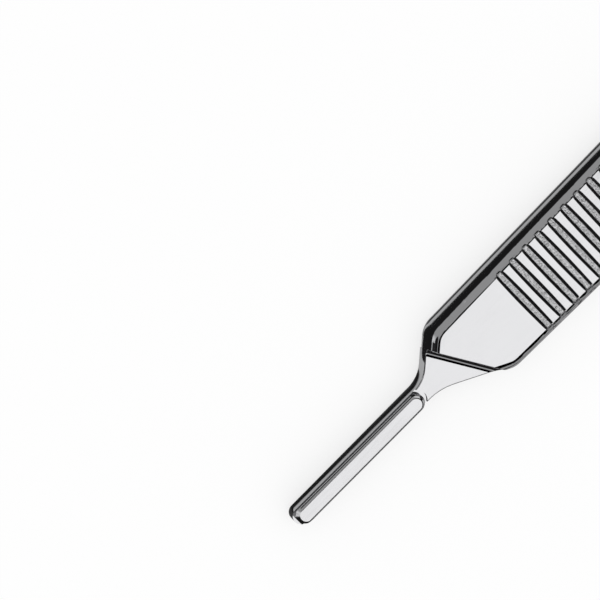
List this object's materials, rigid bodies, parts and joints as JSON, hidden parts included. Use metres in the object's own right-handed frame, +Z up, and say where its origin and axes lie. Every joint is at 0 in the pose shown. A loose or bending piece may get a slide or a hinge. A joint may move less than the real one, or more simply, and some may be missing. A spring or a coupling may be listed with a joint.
{
  "type": "scalpel handle",
  "caption": "Flat steel scalpel handle with a grooved grip, a slanted shoulder and a slotted tongue that holds a small blade.",
  "frame": {"origin": "middle of the box round the handle, at the height of the back face that it lies on", "axes": "+X along the handle from its tail to its blade end, +Y across it towards the longer flank of the neck, +Z up, out of the face that carries the tongue"},
  "size_m": [0.125, 0.013, 0.0036],
  "materials": {
    "steel": "satin"
  },
  "bodies": {
    "root": {"handle": "steel"}
  },
  "joints": []
}
